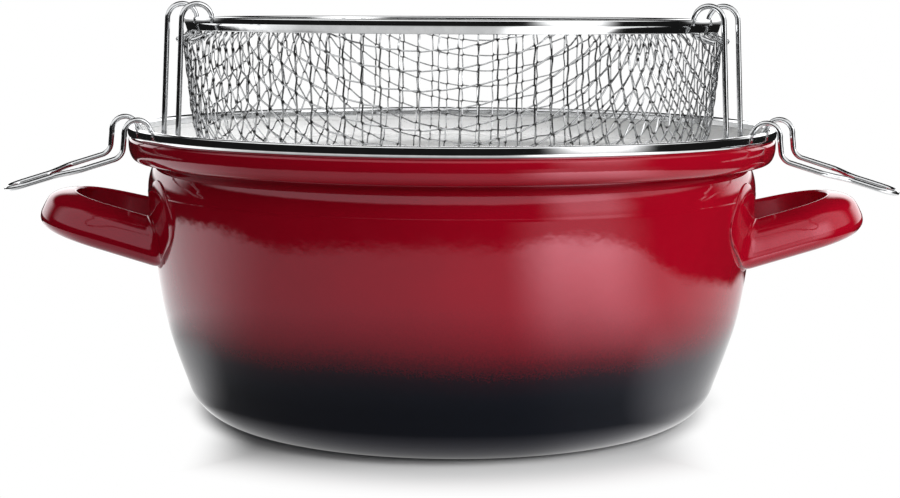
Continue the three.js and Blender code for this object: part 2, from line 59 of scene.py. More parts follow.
# Radius as a share of the shoulder's, and height as a share of the bowl's
BOWL_SHARES = ((0.916, 0.315), (0.9485, 0.46), (0.9706, 0.63), (0.9861, 0.8))
SHOULDER = (122.3, 92.5)
NECK = (119.7, 102.3)
COLLAR_UNDER = 104.0
COLLAR_RADIUS = 129.75
COLLAR_DEPTH = 3.2
COLLAR_HALF = 6.6
COLLAR_CROWN = 1.5
COLLAR_BELOW_BAND = 0.45
# Control points of the draw-in over the shoulder, and of the flare out to the collar
DRAW_IN = (SHOULDER, (SHOULDER[0], 96.0), (NECK[0] + 1.7, NECK[1] - 1.9), NECK)
FLARE = (NECK, (NECK[0] - 0.7, NECK[1] + 0.8), (NECK[0], COLLAR_UNDER), (NECK[0] + 2.1, COLLAR_UNDER))
POT_EDGE_FOOT = (129.0, 113.6)
POT_EDGE = (129.25, 116.35)
POT_LIP_BOTTOM = 113.2
# The wall that the side handles stand on lies between these heights
WALL_HEIGHTS = (5, 100)

BAND_BOTTOM = 113.7
BAND_INNER_RADIUS = 127.3
BAND_INNER_BOTTOM = 114.2
BAND_HOLLOW_BOTTOM = 113.75
BAND_HOLLOW_TOP = 116.5
BAND_SHEET = 0.6
BAND_CURL = 2.0
BAND_CURL_HEIGHT = 115.0
BAND_CURL_TURN = 40
BAND_CORNER = 0.75
BAND_CROWN = 0.06
BAND_ROLL = (1.2, 1.7)
BAND_ROLL_DROP = 1.72

# Side handle sizes

HANDLE_ROOT_X = 121.0
HANDLE_ROOT_Z = 82.9
HANDLE_TILT = 14.0
HANDLE_ROOT_HALF = 28.6
HANDLE_SHOULDER_HALF = 24.7
HANDLE_SHOULDER = 14.0
HANDLE_OPENING = 32.0
HANDLE_LEAN = (HANDLE_ROOT_HALF - HANDLE_SHOULDER_HALF) / HANDLE_SHOULDER
# How far the control points of the loop's bend lie along its arm and its end bar
BEND_OUT = 0.56
BEND_IN = 0.59
# The arm is followed from its outer to its inner reach, in this many samples, to find where it meets the wall
ARM_SEARCH = (20, -26, 231)
# The flare of a foot starts this high over the wall, and higher on the leaf's outer part
FOOT_START = 1.9
FOOT_START_RISE = 2.2
FOOT_RISE_FROM = 34.0
FOOT_RISE_WIDTH = 14.0
FOOT_CREASE_LEVEL = 0.95
FOOT_EDGE_LEVEL = 0.62
FOOT_LANDING = 3.2
FOOT_LANDING_SHARE = 0.55
# The rounded edge of a foot: distance past the leaf's outline, and height over the wall
FOOT_EDGE = ((0.28, 0.50), (0.48, 0.25), (0.56, -0.2))
# The wall is unrolled at this radius where a foot is laid on it
UNROLL_RADIUS = 122.0

# Basket sizes

BASKET_TOP = 160.4
BASKET_RADIUS = 107.2
BASKET_HALF = 1.5
BASKET_CENTRE = 105.7
BASKET_BAND_BOTTOM = 155.2
# Half sections of the basket's band, its outside from below and its hollow:
# distance from the band's middle, and height
BASKET_FLANGE = ((0.42, BASKET_BAND_BOTTOM), (0.53, 155.27), (0.60, 155.5))
BASKET_FOLD = ((1.10, 157.2), (1.35, 157.9))
BASKET_HOLLOW = ((0.32, BASKET_BAND_BOTTOM + 0.05), (0.72, 157.2), (1.05, 158.5), (0.0, 160.0))
BASKET_KNUCKLE = 0.3
BASKET_KNUCKLE_HEIGHT = 158.15
BASKET_KNUCKLE_TURN = 24

NET_TOP = 157.3
NET_BULGE = 107.4
NET_BULGE_DROP = 5.0
NET_THROAT_DROP = 1.1
# Over its bulge the net bends in on the throat: how far out its control point is, and how far below
NET_NECK_PULL = (0.25, 1.2)
NET_NECK_RISE = 0.2
NET_TAPER = 3.2
NET_FLOOR = 94.0
NET_CORNER = 30.0
NET_TURN = -6.3
NET_PITCH = 7.0
NET_WIRE = 0.33
NET_WIRE_SIDES = 6
# The net is draped on a surface that goes on this far above its top
NET_SPARE = 16.0
DRAPE_ROUNDS = 60

# Where a net wire has points between two crossings, as shares of the way
WEAVE_STEPS = np.array([0.0, 0.05, 0.10, 0.16, 0.30, 0.50, 0.70, 0.84, 0.90, 0.95])
WEAVE_REACH = NET_WIRE + 0.01
WEAVE_POWER = 0.7
WEAVE_FADE = 1.4
# A wire steps aside a little at each crossing
JOG = 0.24
JOG_EASE = 0.08
STUB_GAP = 0.12
# Grime and painted shade at each net crossing: how strong it is, and how far along the wire it reaches
GRIME_AND_SHADE_LEVEL = 1.25
GRIME_AND_SHADE_WIDTH = 0.12

# Wire handle sizes. Slopes and turns are degrees

WIRE_RADIUS = 1.05
WIRE_SIDES = 16
WIRE_STEP = 1.2
WIRE_SPACING = 26.0
STUB_SHORT = 1.6
STUB_DROP = 2.4
STUB_TURN = 102.0
STUB_STEP = 0.25
EYE_RADIUS = 5.9
EYE_TOP = 165.4
EYE_BEND = 1.5
LEG_LEAN = 1.9
LEG_FOOT = 116.0
LEG_BEND = 2.5
HUMP_X = 130.8
HUMP_TOP = 121.8
HUMP_RADIUS = 5.1
HUMP_INNER_SLOPE = 31.0
HUMP_OUTER_SLOPE = 6.0
OUTER_LEG = 8.2
GRIP_SLOPE = 16.0
GRIP_BEND = 5.0
GRIP_HALF = 6.2
GRIP_END = 178.0
WAIST_START = 151.4
WAIST_LENGTH = 11.0
GRIP_TURN = 20.0
# The rounded ends of the wire: how far past its end a ring is, and how wide, both in wire radii
WIRE_END = ((0.30, 0.35), (0.22, 0.72), (0.08, 0.94))


# Shape helpers

def unit(vectors):
    return vectors / np.linalg.norm(vectors, axis=-1, keepdims=True)


def heading(degrees):
    return np.array([math.cos(math.radians(degrees)), math.sin(math.radians(degrees))])


def arc(cx, cz, radius, start, end, steps):
    angles = np.radians(np.linspace(start, end, steps + 1))
    return np.stack([cx + radius * np.cos(angles), cz + radius * np.sin(angles)], 1)


def bezier(points, steps):
    """A curve with three or four control points."""
    t = np.linspace(0, 1, steps + 1)[:, None]
    p = [np.asarray(q, float) for q in points]
    if len(p) == 3:
        return (1 - t) ** 2 * p[0] + 2 * t * (1 - t) * p[1] + t ** 2 * p[2]
    first_half = (1 - t) ** 3 * p[0] + 3 * t * (1 - t) ** 2 * p[1]
    return first_half + 3 * t ** 2 * (1 - t) * p[2] + t ** 3 * p[3]


def catmull(points, shares, closed=False):
    """A smooth line through the points, with a point at each of the shares between every two."""
    p = np.asarray(points, float)
    if closed:
        p = np.concatenate([p[-1:], p, p[:2]])
    else:
        p = np.concatenate([2 * p[:1] - p[1:2], p, 2 * p[-1:] - p[-2:-1]])
    t = np.asarray(shares)[:, None]
    out = []
    for a, b, c, d in zip(p[:-3], p[1:-2], p[2:-1], p[3:]):
        square = 2 * a - 5 * b + 4 * c - d
        cube = 3 * b - a - 3 * c + d
        out.append(0.5 * (2 * b + (c - a) * t + square * t ** 2 + cube * t ** 3))
    out = np.concatenate(out)
    return out if closed else np.concatenate([out, p[-2:-1]])


def swung(points, degrees):
    """Points turned about the Z axis."""
    cos, sin = heading(degrees)
    return np.asarray(points) @ np.array([[cos, sin, 0], [-sin, cos, 0], [0, 0, 1]])


def turned(profile, wrap=False):
    """A profile of radius and height turned about Z. Points on the axis become one vertex.
    Returns the points, the faces, and for each face the index of the profile's span that made it."""
    points, rows = [], []
    angles = np.linspace(0, 2 * np.pi, ROUND_SEGMENTS, endpoint=False)
    for radius, height in profile:
        if radius < 1e-6:
            rows.append([len(points)] * ROUND_SEGMENTS)
            points.append((0.0, 0.0, height))
        else:
            rows.append(list(range(len(points), len(points) + ROUND_SEGMENTS)))
            points.extend(zip(radius * np.cos(angles), radius * np.sin(angles), [height] * ROUND_SEGMENTS))
    faces, spans = [], []
    for i in range(len(rows) if wrap else len(rows) - 1):
        a, b = rows[i], rows[(i + 1) % len(rows)]
        for k in range(ROUND_SEGMENTS):
            n = (k + 1) % ROUND_SEGMENTS
            face = list(dict.fromkeys([a[k], a[n], b[n], b[k]]))
            if len(face) > 2:
                faces.append(face)
                spans.append(i)
    return np.array(points), faces, spans


def lofted(rings):
    """A closed body through equal rings of points."""
    rings = np.asarray(rings)
    rows, sides = rings.shape[:2]
    faces = []
    for i in range(rows - 1):
        for k in range(sides):
            n = (k + 1) % sides
            faces.append([i * sides + k, i * sides + n, (i + 1) * sides + n, (i + 1) * sides + k])
    faces.append(list(range(sides))[::-1])
    faces.append(list(range((rows - 1) * sides, rows * sides)))
    return rings.reshape(-1, 3), faces


def tube(path, radius, sides):
    """A round wire along a path, with its ends rounded off."""
    path = np.asarray(path, float)
    ahead = unit(np.gradient(path, axis=0))
    angles = np.linspace(0, 2 * np.pi, sides, endpoint=False)[:, None]
    side = unit(np.cross(ahead[0], (0.3, 0.5, 0.8)))
    sideways = []
    for way in ahead:
        side = unit(side - way * side.dot(way))
        sideways.append(side)

    def ring(index, shift, size):
        way, across = ahead[index], sideways[index]
        centre = path[index] + way * radius * shift
        return centre + radius * size * (np.cos(angles) * across + np.sin(angles) * np.cross(way, across))

    rings = [ring(0, -shift, size) for shift, size in WIRE_END]
    rings += [ring(index, 0.0, 1.0) for index in range(len(path))]
    rings += [ring(-1, shift, size) for shift, size in WIRE_END[::-1]]
    return lofted(rings)


def add_piece(name, points, faces, body, looks, stands_for, choice=None):
    """A smooth mesh that rides on a body in place of CAD nodes. choice picks each face's look."""
    mesh = bpy.data.meshes.new(name)
    mesh.from_pydata((np.asarray(points) * MM).tolist(), [], faces)
    mesh.validate()
    for look in looks:
        mesh.materials.append(look)
    if choice is not None:
        mesh.polygons.foreach_set("material_index", np.asarray(choice, np.int32))
    mesh.update()
    mesh.shade_smooth()
    mesh.set_sharp_from_angle(angle=math.radians(SHARP_ANGLE))
    piece = bpy.data.objects.new(name, mesh)
    bpy.context.scene.collection.objects.link(piece)
    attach(piece, body)
    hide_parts(*stands_for)
    return piece


# Node helpers

def material(name, **values):
    made = bpy.data.materials.new(name)
    made.use_nodes = True
    shader = made.node_tree.nodes["Principled BSDF"]
    for key, value in values.items():
        shader.inputs[key.replace("_", " ")].default_value = value
    return made, made.node_tree, shader


def feed(tree, socket, value):
    """Links a socket to another, or sets it to a plain value."""
    if isinstance(value, bpy.types.NodeSocket):
        tree.links.new(value, socket)
    else:
        socket.default_value = value


def node(tree, kind, inputs=None, **settings):
    made = tree.nodes.new(kind)
    for key, value in settings.items():
        setattr(made, key, value)
    for key, value in (inputs or {}).items():
        feed(tree, made.inputs[key], value)
    return made


def maths(tree, operation, a, b=0.0, c=0.0):
    made = node(tree, "ShaderNodeMath", operation=operation)
    for socket, value in zip(made.inputs, (a, b, c)):
        feed(tree, socket, value)
    return made.outputs[0]


def chain(tree, operation, first, *others):
    """One operation over any number of values, from left to right."""
    for other in others:
        first = maths(tree, operation, first, other)
    return first


def mapped(tree, value, low, high, to_low=0.0, to_high=1.0, smooth=True):
    return node(
        tree, "ShaderNodeMapRange",
        {"Value": value, "From Min": low, "From Max": high, "To Min": to_low, "To Max": to_high},
        interpolation_type="SMOOTHSTEP" if smooth else "LINEAR",
    ).outputs["Result"]


def between(tree, value, rise, fall):
    """0 before the first range, 1 between the two, and 0 past the second."""
    return maths(tree, "MULTIPLY", mapped(tree, value, *rise), mapped(tree, value, *fall, 1.0, 0.0))


def towards(tree, share, a, b):
    """The number a where the share is 0, b where it is 1."""
    return maths(tree, "MULTIPLY_ADD", share, maths(tree, "SUBTRACT", b, a), a)


def mixed(tree, share, a, b):
    """The colour a where the share is 0, b where it is 1."""
    made = node(tree, "ShaderNodeMix", data_type="RGBA")
    for name, kind, value in (("Factor", "VALUE", share), ("A", "RGBA", a), ("B", "RGBA", b)):
        feed(tree, next(s for s in made.inputs if s.name == name and s.type == kind), value)
    return next(s for s in made.outputs if s.type == "RGBA")


def rgba(tone, share=1.0):
    return (*[t * share for t in tone], 1)


def coordinates(tree, output="Object"):
    place = node(tree, "ShaderNodeTexCoord").outputs[output]
    parts = node(tree, "ShaderNodeSeparateXYZ", {"Vector": place}).outputs
    return parts["X"], parts["Y"], parts["Z"]


def axis_distance(tree, x, y):
    squares = maths(tree, "ADD", maths(tree, "MULTIPLY", x, x), maths(tree, "MULTIPLY", y, y))
    return maths(tree, "POWER", squares, 0.5)


def front_turn(tree, x, y):
    """The turn about Z from the front, in radians, positive to the right."""
    return maths(tree, "ARCTAN2", x, maths(tree, "MULTIPLY", y, -1.0))


def noise(tree, scale, detail=2.0, roughness=0.5, vector=None):
    if vector is None:
        vector = node(tree, "ShaderNodeTexCoord").outputs["Object"]
    return node(
        tree, "ShaderNodeTexNoise",
        {"Vector": vector, "Scale": scale, "Detail": detail, "Roughness": roughness},
    ).outputs["Fac"]


def wander(tree, level, width):
    """Noise stretched to the width, as far below 0 as above it."""
    return maths(tree, "MULTIPLY_ADD", level, width, -width / 2)


def bumped(tree, shader, height, distance, under=None):
    inputs = {"Height": height, "Distance": distance}
    if under is not None:
        inputs["Normal"] = under
    made = node(tree, "ShaderNodeBump", inputs)
    tree.links.new(made.outputs["Normal"], shader.inputs["Normal"])
    return made.outputs["Normal"]


def ramp(tree, value, stops):
    made = node(tree, "ShaderNodeValToRGB", {"Fac": value})
    elements = made.color_ramp.elements
    while len(elements) < len(stops):
        elements.new(0.5)
    for element, (at, colour) in zip(elements, stops):
        element.position = at
        element.color = (*colour, 1.0)
    return made.outputs["Color"]


# Materials

# Between these heights the enamel goes from near-black to crimson: the share of the way, and the colour
FADE_HEIGHTS = (0.020, 0.070)
FADE_COLOURS = (
    (0.00, (0.0030, 0.0042, 0.0070)),
    (0.14, (0.0026, 0.0038, 0.0070)),
    (0.27, (0.0100, 0.0033, 0.0066)),
    (0.38, (0.0760, 0.0022, 0.0062)),
    (0.50, (0.1650, 0.0016, 0.0076)),
    (0.62, (0.2200, 0.0016, 0.0092)),
    (0.80, (0.2750, 0.0017, 0.0106)),
    (1.00, (0.2900, 0.0017, 0.0108)),
)
FADE_SPRAY = 0.010
FADE_DRIFT = 0.006
DEEP_RED = (0.13, 0.001, 0.004, 1)
PALE_TONES = ((0.86, 0.86, 0.86, 1), (0.90, 0.90, 0.895, 1))
SPECK_GREY = (0.30, 0.30, 0.31, 1)
# Grime and painted shade where the net's wires cross
GRIME_AND_SHADE = (0.035, 0.034, 0.033, 1)
# The lines in bright steel run round it, since their noise moves only this far in each radian
LINE_TRAVEL = 0.004


def red_enamel():
    """Crimson that fades to near-black at the pot's foot, cloudy, with a slight orange peel."""
    made, tree, shader = material("red_enamel", Specular_Tint=(1.0, 0.97, 1.12, 1.0))
    height = coordinates(tree)[2]
    spray = wander(tree, noise(tree, 1500, 1.0), FADE_SPRAY)
    drift = wander(tree, noise(tree, 16, 1.0), FADE_DRIFT)
    share = mapped(tree, chain(tree, "ADD", height, spray, drift), *FADE_HEIGHTS, smooth=False)
    colour = ramp(tree, share, FADE_COLOURS)
    deeper = mixed(tree, mapped(tree, share, 0.35, 0.60, 0.0, 0.10), colour, DEEP_RED)
    cloud = mapped(tree, noise(tree, 45, 3.0), 0.3, 0.7)
    feed(tree, shader.inputs["Base Color"], mixed(tree, cloud, deeper, colour))
    feed(tree, shader.inputs["Metallic"], mapped(tree, share, 0.26, 0.62, 0.0, 0.10))
    feed(tree, shader.inputs["Roughness"], mapped(tree, noise(tree, 120, 2.0), 0.3, 0.7, 0.035, 0.075))
    peel = bumped(tree, shader, noise(tree, 330, 1.0), 0.000016)
    bumped(tree, shader, noise(tree, 90, 1.0), 0.00003, under=peel)
    return made


def pale_enamel():
    """The pot's inside: nearly white, cloudy and speckled."""
    made, tree, shader = material("pale_enamel")
    speck = mapped(tree, noise(tree, 1800, 1.0), 0.68, 0.76, 0.0, 0.7)
    cloud = mapped(tree, noise(tree, 30, 2.0), 0.3, 0.7)
    ground = mixed(tree, cloud, *PALE_TONES)
    feed(tree, shader.inputs["Base Color"], mixed(tree, speck, ground, SPECK_GREY))
    feed(tree, shader.inputs["Roughness"], mapped(tree, cloud, 0.0, 1.0, 0.07, 0.13))
    bumped(tree, shader, noise(tree, 330, 1.0), 0.00002)
    return made


def bright_steel(name, tone, rough, grain):
    """Polished sheet with fine lines round it and worn patches."""
    made, tree, shader = material(name, Metallic=1.0)
    x, y, height = coordinates(tree)
    turn = maths(tree, "ARCTAN2", y, x)
    along = node(tree, "ShaderNodeCombineXYZ", {
        "X": maths(tree, "MULTIPLY", turn, LINE_TRAVEL), "Y": axis_distance(tree, x, y), "Z": height,
    }).outputs["Vector"]
    lines = noise(tree, 3500, 2.0, vector=along)
    wear = mapped(tree, noise(tree, 240, 3.0), 0.35, 0.75)
    feed(tree, shader.inputs["Base Color"], mixed(tree, wear, rgba(tone, 0.9), rgba(tone)))
    feed(tree, shader.inputs["Roughness"], mapped(tree, lines, 0.2, 0.8, rough * 0.7, rough * 1.5))
    bumped(tree, shader, lines, grain)
    return made


def wire_steel(name, tone, rough, grime_and_shade=False):
    """Drawn wire with duller spots and, where asked, grime and painted shade at the net's crossings."""
    made, tree, shader = material(name, Metallic=1.0)
    spots = mapped(tree, noise(tree, 900, 3.0), 0.4, 0.75)
    colour = mixed(tree, spots, rgba(tone), rgba(tone, 0.84))
    if grime_and_shade:
        # Darker at the net's crossings: grime, plus painted shade where the wires touch
        crossing = node(tree, "ShaderNodeAttribute", attribute_name="crossing").outputs["Fac"]
        colour = mixed(tree, crossing, colour, GRIME_AND_SHADE)
    feed(tree, shader.inputs["Base Color"], colour)
    patches = noise(tree, 400, 2.0)
    feed(tree, shader.inputs["Roughness"], mapped(tree, patches, 0.3, 0.7, rough * 0.7, rough * 1.4))
    bumped(tree, shader, noise(tree, 1400, 1.0), 0.0000012)
    return made


RED = red_enamel()
PALE = pale_enamel()
BAND = bright_steel("bright_band_steel", (0.86, 0.87, 0.88), 0.07, 0.0000015)
WIRE = wire_steel("drawn_wire_steel", (0.72, 0.73, 0.74), 0.13)
MESH = wire_steel("net_wire_steel", (0.60, 0.61, 0.62), 0.21, grime_and_shade=True)


# Pot

def pot_outside():
    """The pot's outer line from the middle of its base to its upper edge."""
    foot = arc(BASE_RADIUS, BASE_CORNER, BASE_CORNER, -90, BASE_CORNER_TURN - 90, 20)
    knots = [(r * SHOULDER[0], h * BOWL_TOP) for r, h in BOWL_SHARES]
    bowl = catmull([foot[-1], *knots, (SHOULDER[0], BOWL_TOP), SHOULDER], np.arange(8) / 8)
    centre = (COLLAR_RADIUS - COLLAR_DEPTH, COLLAR_UNDER + COLLAR_HALF)
    collar = arc(0, 0, 1, -90, 0, 24) * (COLLAR_DEPTH, COLLAR_HALF) + centre
    crown_height = BAND_BOTTOM - COLLAR_BELOW_BAND - COLLAR_CROWN
    crown = arc(COLLAR_RADIUS - COLLAR_CROWN, crown_height, COLLAR_CROWN, 0, 65, 8)
    base = np.array([[r, 0.0] for r in BASE_RINGS])
    return np.concatenate([
        base, foot, bowl[1:], bezier(DRAW_IN, 16)[1:], bezier(FLARE, 12)[1:], collar, crown,
        [POT_EDGE_FOOT, POT_EDGE],
    ])


def inset(profile, distance):
    """The same line moved to its left."""
    way = unit(np.gradient(profile, axis=0))
    return profile + np.stack([-way[:, 1], way[:, 0]], 1) * distance


OUTSIDE = pot_outside()
WALL_LINE = OUTSIDE[(OUTSIDE[:, 1] > WALL_HEIGHTS[0]) & (OUTSIDE[:, 1] < WALL_HEIGHTS[1])]


def wall_radius(z):
    return np.interp(z, WALL_LINE[:, 1], WALL_LINE[:, 0])


def build_pot():
    """The enamelled sheet, red outside and pale inside. Its lip stands straight inside the band."""
    inside = inset(OUTSIDE, POT_WALL)[:-3]
    inside[0] = (0, POT_WALL)
    lip_radius = POT_EDGE[0] - POT_WALL
    lip = [(lip_radius, POT_EDGE[1]), (lip_radius, POT_LIP_BOTTOM)]
    points, faces, spans = turned(np.concatenate([OUTSIDE, lip, inside[::-1]]))
    choice = [0 if span < len(OUTSIDE) - 1 else 1 for span in spans]
    add_piece("pot_shell", points, faces, "pot", [RED, PALE], ["pot_body"], choice)


def build_pot_band():
    """The folded band: small outer corners, a flat face, and lips that curl in below."""
    outer, inner, top = POT_RIM_RADIUS, BAND_INNER_RADIUS, POT_HEIGHT
    hem = BAND_SHEET + 0.02
    section = np.concatenate([
        arc(outer - BAND_CURL, BAND_CURL_HEIGHT, BAND_CURL, -BAND_CURL_TURN, 0, 8),
        arc(outer - BAND_CORNER, top - BAND_CORNER - BAND_CROWN, BAND_CORNER, 0, 84, 8),
        [((outer + inner) / 2, top)],
        arc(0, 0, 1, 92, 180, 14) * BAND_ROLL + (inner + BAND_ROLL[0], top - BAND_ROLL_DROP),
        [(inner, BAND_INNER_BOTTOM)],
        [(inner + hem, BAND_HOLLOW_BOTTOM), (inner + BAND_SHEET, BAND_HOLLOW_TOP)],
        [(outer - BAND_SHEET, BAND_HOLLOW_TOP), (outer - hem, BAND_HOLLOW_BOTTOM)],
    ])
    points, faces, _ = turned(section, wrap=True)
    add_piece("pot_rim", points, faces, "pot", [BAND], ["pot_rim_band"])


# Side handles

# Section from the middle of the inner face, up over the rolled crease and round: outwards, and height
SECTION = np.array([
    (0.37, -8.65), (0.12, -3.0), (0.05, -1.0), (0.35, -0.25), (1.0, 0.0), (2.0, -0.28),
    (3.7, -0.8), (5.6, -1.5), (7.4, -2.4), (9.0, -3.6), (10.2, -5.1), (11.0, -7.1),
    (11.6, -9.5), (12.0, -12.1), (11.5, -14.4), (9.9, -16.1), (8.0, -17.0), (6.15, -17.3),
    (4.2, -17.05), (2.5, -16.1), (1.3, -14.2), (0.7, -11.6),
])
# Where each of those points ends on the wall: distance from the middle plane, and height
LEAF = np.array([
    (30.6, 74.5), (31.6, 81.0), (33.0, 85.0), (33.8, 88.0), (34.8, 91.0), (37.0, 94.2),
    (40.6, 96.6), (45.2, 97.7), (50.0, 97.2), (54.4, 95.2), (58.2, 91.6), (60.8, 87.0),
    (61.6, 82.4), (60.2, 78.0), (56.6, 74.2), (52.0, 71.0), (47.4, 68.0), (42.8, 65.2),
    (38.4, 63.2), (34.6, 63.4), (31.8, 66.4), (30.6, 70.0),
])
SECTION_LINE = catmull(SECTION, np.arange(4) / 4, closed=True)
LEAF_LINE = catmull(LEAF, np.arange(4) / 4, closed=True)


def tilted(local):
    """Points of the handle's own level frame, set at the wall and tilted."""
    x, y, z = np.moveaxis(local, -1, 0)
    cos, sin = heading(HANDLE_TILT)
    return np.stack([HANDLE_ROOT_X + x * cos - z * sin, y, HANDLE_ROOT_Z + x * sin + z * cos], -1)


def section_at(place, way):
    """The section square to its way, at one place or with a place for each of its points."""
    way = unit(np.asarray(way))
    level = place + SECTION_LINE[:, :1] * np.array([way[1], -way[0]])
    return tilted(np.concatenate([level, SECTION_LINE[:, 1:]], 1))


def arm_place(x):
    """Where the straight arm's inner side is, x out from its root."""
    return np.stack([x, HANDLE_LEAN * x - HANDLE_ROOT_HALF], -1)


def arm_section(x):
    """The arm's section with each of its points at its own distance x."""
    return section_at(arm_place(x), (1.0, HANDLE_LEAN))


def arm_reach(height):
    """The distance x at which each point of the arm's section is that high over the wall."""
    reach = np.linspace(*ARM_SEARCH)
    samples = np.stack([arm_section(np.full(len(SECTION_LINE), x)) for x in reach])
    heights = np.hypot(samples[..., 0], samples[..., 1]) - wall_radius(samples[..., 2])
    return np.array([np.interp(-height[k], -heights[:, k], reach) for k in range(len(SECTION_LINE))])


def to_wall(points):
    """Points as their distance round the unrolled wall, height, and height over the wall."""
    turn = np.arctan2(points[:, 1], points[:, 0])
    over = np.hypot(points[:, 0], points[:, 1]) - wall_radius(points[:, 2])
    return np.stack([turn * UNROLL_RADIUS, points[:, 2], over], 1)


def from_wall(places):
    radius = wall_radius(places[:, 1]) + places[:, 2]
    turn = places[:, 0] / UNROLL_RADIUS
    return np.stack([radius * np.cos(turn), radius * np.sin(turn), places[:, 1]], 1)


def leaf_places(level):
    """The leaf's outline on the unrolled wall."""
    across = -np.arcsin(LEAF_LINE[:, 0] / wall_radius(LEAF_LINE[:, 1])) * UNROLL_RADIUS
    return np.stack([across, LEAF_LINE[:, 1], np.full(len(LEAF_LINE), level)], 1)


def handle_foot(start, crease):
    """Rings from the arm's end, round the crease, out to the leaf's edge and back behind it."""
    leaf = leaf_places(FOOT_EDGE_LEVEL)
    away = leaf[:, :2] - crease[:, :2]
    length = np.linalg.norm(away, axis=1)[:, None]
    away = away / length
    landing = crease.copy()
    landing[:, :2] += away * np.minimum(FOOT_LANDING, length * FOOT_LANDING_SHARE)
    places = []
    for t in np.linspace(0, 1, 9):
        places.append((1 - t) ** 2 * start + 2 * t * (1 - t) * crease + t ** 2 * landing)
    for share in (0.2, 0.4, 0.6, 0.8, 1.0):
        places.append(landing + (leaf - landing) * share)
    for shift, level in FOOT_EDGE:
        edge = leaf.copy()
        edge[:, :2] += away * shift
        edge[:, 2] = level
        places.append(edge)
    # The hidden back follows the wall inwards, so that its last face is tiny and stays in the sheet
    middle = edge.mean(0)
    for share in (0.8, 0.6, 0.4, 0.2, 0.03):
        places.append(middle + (edge - middle) * share)
    return [from_wall(place) for place in places]


def handle_bend():
    """Rings from the arm's shoulder to the middle of the end bar."""
    shoulder = arm_place(HANDLE_SHOULDER)
    pull = arm_place(HANDLE_SHOULDER + (HANDLE_OPENING - HANDLE_SHOULDER) * BEND_OUT)
    line = bezier([shoulder, pull, (HANDLE_OPENING, shoulder[1] * BEND_IN), (HANDLE_OPENING, 0.0)], 22)
    ways = np.gradient(line, axis=0)
    ways[0], ways[-1] = (1.0, HANDLE_LEAN), (0.0, 1.0)
    return [section_at(place, way) for place, way in zip(line, ways)]


def handle_rings():
    """All the rings of a side handle, from one foot's back round to the other's."""
    rise = FOOT_START_RISE * np.clip((LEAF_LINE[:, 0] - FOOT_RISE_FROM) / FOOT_RISE_WIDTH, 0, 1)
    start = arm_reach(FOOT_START + rise)
    crease = arm_reach(np.full(len(LEAF_LINE), FOOT_CREASE_LEVEL))
    arm = [arm_section(HANDLE_SHOULDER + (start - HANDLE_SHOULDER) * share) for share in (0.2, 0.4, 0.6, 0.8)]
    foot = handle_foot(to_wall(arm_section(start)), to_wall(arm_section(crease)))
    half = foot[::-1] + arm[::-1] + handle_bend()
    return half + [ring * np.array([1, -1, 1]) for ring in half[:-1][::-1]]


def build_side_handles():
    points, faces = lofted(handle_rings())
    add_piece("side_handle_right_shell", points, faces, "pot", [RED], ["side_handle_right"])
    other = points * np.array([-1, -1, 1])
    add_piece("side_handle_left_shell", other, faces, "pot", [RED], ["side_handle_left"])


# Basket rim

def beside_middle(half_section):
    return np.array(half_section) + (BASKET_CENTRE, 0.0)


def across_middle(points):
    return points * (-1.0, 1.0) + (2 * BASKET_CENTRE, 0.0)


def build_basket_rim():
    """The band rolled over its core wire, its two flanges pinched on the net below."""
    knuckle = arc(
        BASKET_RADIUS - BASKET_KNUCKLE, BASKET_KNUCKLE_HEIGHT, BASKET_KNUCKLE, -BASKET_KNUCKLE_TURN, 0, 3,
    )
    corner = arc(BASKET_RADIUS - BAND_CORNER, BASKET_TOP - BAND_CORNER, BAND_CORNER, 0, 84, 10)
    fold = bezier([*beside_middle(BASKET_FOLD), knuckle[0]], 3)
    outside = np.concatenate([beside_middle(BASKET_FLANGE), fold, knuckle[1:], corner])
    hollow = beside_middle(BASKET_HOLLOW)
    points, faces, _ = turned(np.concatenate([
        outside, [(BASKET_CENTRE, BASKET_TOP)], across_middle(outside)[::-1],
        across_middle(hollow), hollow[:-1][::-1],
    ]), wrap=True)
    add_piece("basket_rim", points, faces, "basket", [BAND], ["basket_rim_band"])


# Basket net

def net_profile():
    """The surface the net lies on, as radius and height from the middle of its floor up."""
    bulge = BASKET_BAND_BOTTOM - NET_BULGE_DROP
    throat = BASKET_BAND_BOTTOM - NET_THROAT_DROP
    lean = math.atan2(NET_TAPER, bulge - NET_FLOOR - NET_CORNER)
    radius = NET_BULGE - NET_TAPER - NET_CORNER * math.cos(lean)
    corner = arc(radius, NET_FLOOR + NET_CORNER, NET_CORNER, -90, -math.degrees(lean), 60)
    pull = (NET_BULGE + NET_NECK_PULL[0], throat - NET_NECK_PULL[1])
    neck = bezier([(NET_BULGE, bulge), pull, (BASKET_CENTRE, throat + NET_NECK_RISE)], 8)
    return np.concatenate([[[0.0, NET_FLOOR]], corner, neck, [[BASKET_CENTRE, NET_TOP + NET_SPARE]]])


NET_LINE = net_profile()
NET_WAY = np.diff(NET_LINE, axis=0)
NET_LENGTH = np.linalg.norm(NET_WAY, axis=1)
NET_RUN = np.concatenate([[0], np.cumsum(NET_LENGTH)])


def pulled(points):
    """The nearest points of the net's surface, and the outward normals there."""
    radius = np.hypot(points[:, 0], points[:, 1])
    here = np.stack([radius, points[:, 2]], 1)
    share = ((here[:, None] - NET_LINE[:-1]) * NET_WAY).sum(2) / NET_LENGTH ** 2
    foot = NET_LINE[:-1] + NET_WAY * np.clip(share, 0, 1)[..., None]
    best = ((foot - here[:, None]) ** 2).sum(2).argmin(1)
    foot = foot[np.arange(len(here)), best]
    way = NET_WAY[best] / NET_LENGTH[best][:, None]
    turn = np.arctan2(points[:, 1], points[:, 0])
    cos, sin = np.cos(turn), np.sin(turn)
    at = np.stack([foot[:, 0] * cos, foot[:, 0] * sin, foot[:, 1]], 1)
    normal = np.stack([way[:, 1] * cos, way[:, 1] * sin, -way[:, 0]], 1)
    return at, normal


